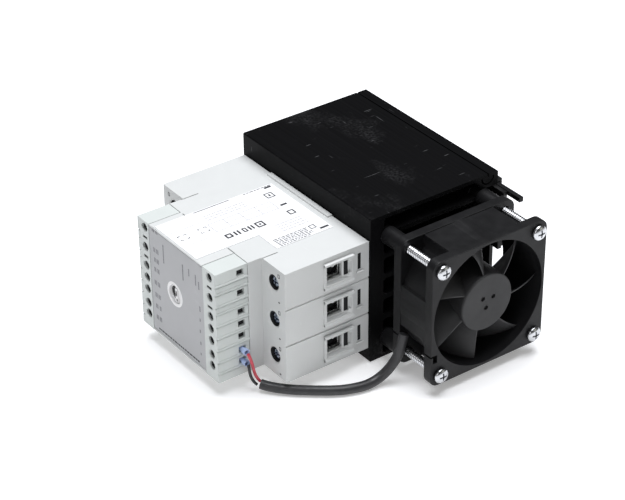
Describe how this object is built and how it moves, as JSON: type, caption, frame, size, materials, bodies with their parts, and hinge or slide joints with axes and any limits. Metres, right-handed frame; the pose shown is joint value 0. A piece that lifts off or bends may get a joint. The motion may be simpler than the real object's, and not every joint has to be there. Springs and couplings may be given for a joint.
{
  "type": "three-pole solid state relay",
  "caption": "Solid state relay for three poles on a finned heatsink with an axial cooling fan, plug-in control terminals, box-clamp power terminals and a sprung rail latch.",
  "frame": {"origin": "centre of the footprint of the box, without the fan lead, on the surface that the part lies on", "axes": "+X from the front panel to the rail side, +Y from the fan to the line terminals, +Z across the width, up as it lies"},
  "size_m": [0.141, 0.1288, 0.07],
  "materials": {
    "anodised_black": "black anodised, satin, with fine extrusion lines",
    "thermal_pad": "soft matte filled silicone",
    "moulded_black": "fine matte moulding",
    "housing_grey": "light grey, fine spark texture",
    "plug_grey": "light grey with a faint green cast",
    "panel_grey": "mid grey printed panel",
    "label_white": "white printed film",
    "dial_white": "near-white moulding",
    "copper": "tinned copper bar, slightly dull",
    "circuit_board": "green solder mask",
    "pins_brass": "plain brass",
    "varistor_blue": "blue epoxy coating",
    "fan_black": "black, satin, glass-filled",
    "impeller_grey": "charcoal, satin",
    "magnet": "bonded ferrite, matte",
    "screw_steel": "bright zinc plate",
    "stator_steel": "laminated electrical steel",
    "clamp_plated": "bright zinc-plated box clamp",
    "rail_steel_black": "black, semi-gloss",
    "sheath_grey": "dark grey PVC, satin",
    "wire_red": "red PVC",
    "wire_black": "black PVC",
    "ferrule_blue": "light blue collar on a plated pin"
  },
  "bodies": {
    "root": {"busbar_line_1": "copper", "busbar_line_2": "copper", "busbar_line_3": "copper", "busbar_load_1": "copper", "busbar_load_2": "copper", "busbar_load_3": "copper", "control_board": "circuit_board", "din_bracket": "rail_steel_black", "fan_bearing": "pins_brass", "fan_circuit_board": "circuit_board", "fan_frame": "fan_black", "fan_lead_sheath": "sheath_grey", "fan_screw_1": "screw_steel", "fan_screw_2": "screw_steel", "fan_screw_3": "screw_steel", "fan_screw_4": "screw_steel", "fan_spacer_1": "fan_black", "fan_spacer_2": "fan_black", "fan_spacer_3": "fan_black", "fan_spacer_4": "fan_black", "fan_stator": "stator_steel", "fan_wire_black": "wire_black", "fan_wire_red": "wire_red", "front_panel": "panel_grey", "heatsink": "anodised_black", "latch_spring": "screw_steel", "pin_header_line": "pins_brass", "pin_header_load": "pins_brass", "power_board": "circuit_board", "power_module_1": "moulded_black", "power_module_2": "moulded_black", "power_module_3": "moulded_black", "relay_housing": "housing_grey", "side_label": "label_white", "thermal_pad": "thermal_pad", "trim_potentiometer": "moulded_black", "varistor_1": "varistor_blue", "varistor_2": "varistor_blue", "varistor_3": "varistor_blue"},
    "fan_rotor": {"fan_impeller": "impeller_grey", "fan_magnet_ring": "magnet", "fan_shaft": "screw_steel"},
    "latch": {"din_latch": "rail_steel_black"},
    "dial": {"trim_dial": "dial_white"},
    "line_plug": {"control_plug_line": "plug_grey"},
    "load_plug": {"control_plug_load": "plug_grey", "ferrule_red": "ferrule_blue", "ferrule_black": "ferrule_blue"},
    "screw_load_1": {"terminal_screw_load_1": "screw_steel"},
    "clamp_load_1": {"terminal_clamp_load_1": "clamp_plated"},
    "screw_load_2": {"terminal_screw_load_2": "screw_steel"},
    "clamp_load_2": {"terminal_clamp_load_2": "clamp_plated"},
    "screw_load_3": {"terminal_screw_load_3": "screw_steel"},
    "clamp_load_3": {"terminal_clamp_load_3": "clamp_plated"},
    "screw_line_1": {"terminal_screw_line_1": "screw_steel"},
    "clamp_line_1": {"terminal_clamp_line_1": "clamp_plated"},
    "screw_line_2": {"terminal_screw_line_2": "screw_steel"},
    "clamp_line_2": {"terminal_clamp_line_2": "clamp_plated"},
    "screw_line_3": {"terminal_screw_line_3": "screw_steel"},
    "clamp_line_3": {"terminal_clamp_line_3": "clamp_plated"}
  },
  "joints": [
    {"name": "fan_spin", "type": "hinge", "parent": "root", "child": "fan_rotor", "pos_m": [0.02845, -0.0485, 0.035], "axis": [0, 1, 0], "continuous": true},
    {"name": "latch_slide", "type": "slide", "parent": "root", "child": "latch", "axis": [0, -1, 0], "range_m": [0, 0.005], "stiffness_N_per_m": 1500, "springref_m": -0.002, "deforming": ["latch_spring"]},
    {"name": "dial_turn", "type": "hinge", "parent": "root", "child": "dial", "pos_m": [-0.06755, 0.0213, 0.0346], "axis": [-1, 0, 0], "range_deg": [-135, 135]},
    {"name": "line_plug_pull", "type": "slide", "parent": "root", "child": "line_plug", "axis": [-1, 0, 0], "range_m": [0, 0.012]},
    {"name": "load_plug_pull", "type": "slide", "parent": "root", "child": "load_plug", "axis": [-1, 0, 0], "range_m": [0, 0.012]},
    {"name": "screw_turn_load_1", "type": "hinge", "parent": "root", "child": "screw_load_1", "pos_m": [-0.04655, -0.0176, 0.0519], "axis": [1, 0, 0], "range_deg": [0, 2520]},
    {"name": "clamp_slide_load_1", "type": "slide", "parent": "root", "child": "clamp_load_1", "axis": [-1, 0, 0], "range_m": [0, 0.0056]},
    {"name": "screw_turn_load_2", "type": "hinge", "parent": "root", "child": "screw_load_2", "pos_m": [-0.04655, -0.0176, 0.0343], "axis": [1, 0, 0], "range_deg": [0, 2520]},
    {"name": "clamp_slide_load_2", "type": "slide", "parent": "root", "child": "clamp_load_2", "axis": [-1, 0, 0], "range_m": [0, 0.0056]},
    {"name": "screw_turn_load_3", "type": "hinge", "parent": "root", "child": "screw_load_3", "pos_m": [-0.04655, -0.0176, 0.0167], "axis": [1, 0, 0], "range_deg": [0, 2520]},
    {"name": "clamp_slide_load_3", "type": "slide", "parent": "root", "child": "clamp_load_3", "axis": [-1, 0, 0], "range_m": [0, 0.0056]},
    {"name": "screw_turn_line_1", "type": "hinge", "parent": "root", "child": "screw_line_1", "pos_m": [-0.04655, 0.0549, 0.0519], "axis": [1, 0, 0], "range_deg": [0, 2520]},
    {"name": "clamp_slide_line_1", "type": "slide", "parent": "root", "child": "clamp_line_1", "axis": [-1, 0, 0], "range_m": [0, 0.0056]},
    {"name": "screw_turn_line_2", "type": "hinge", "parent": "root", "child": "screw_line_2", "pos_m": [-0.04655, 0.0549, 0.0343], "axis": [1, 0, 0], "range_deg": [0, 2520]},
    {"name": "clamp_slide_line_2", "type": "slide", "parent": "root", "child": "clamp_line_2", "axis": [-1, 0, 0], "range_m": [0, 0.0056]},
    {"name": "screw_turn_line_3", "type": "hinge", "parent": "root", "child": "screw_line_3", "pos_m": [-0.04655, 0.0549, 0.0167], "axis": [1, 0, 0], "range_deg": [0, 2520]},
    {"name": "clamp_slide_line_3", "type": "slide", "parent": "root", "child": "clamp_line_3", "axis": [-1, 0, 0], "range_m": [0, 0.0056]}
  ],
  "couplings": [
    {"joint": "screw_turn_load_1", "follows": "clamp_slide_load_1", "rad_per_m": 7854},
    {"joint": "screw_turn_load_2", "follows": "clamp_slide_load_2", "rad_per_m": 7854},
    {"joint": "screw_turn_load_3", "follows": "clamp_slide_load_3", "rad_per_m": 7854},
    {"joint": "screw_turn_line_1", "follows": "clamp_slide_line_1", "rad_per_m": 7854},
    {"joint": "screw_turn_line_2", "follows": "clamp_slide_line_2", "rad_per_m": 7854},
    {"joint": "screw_turn_line_3", "follows": "clamp_slide_line_3", "rad_per_m": 7854}
  ]
}
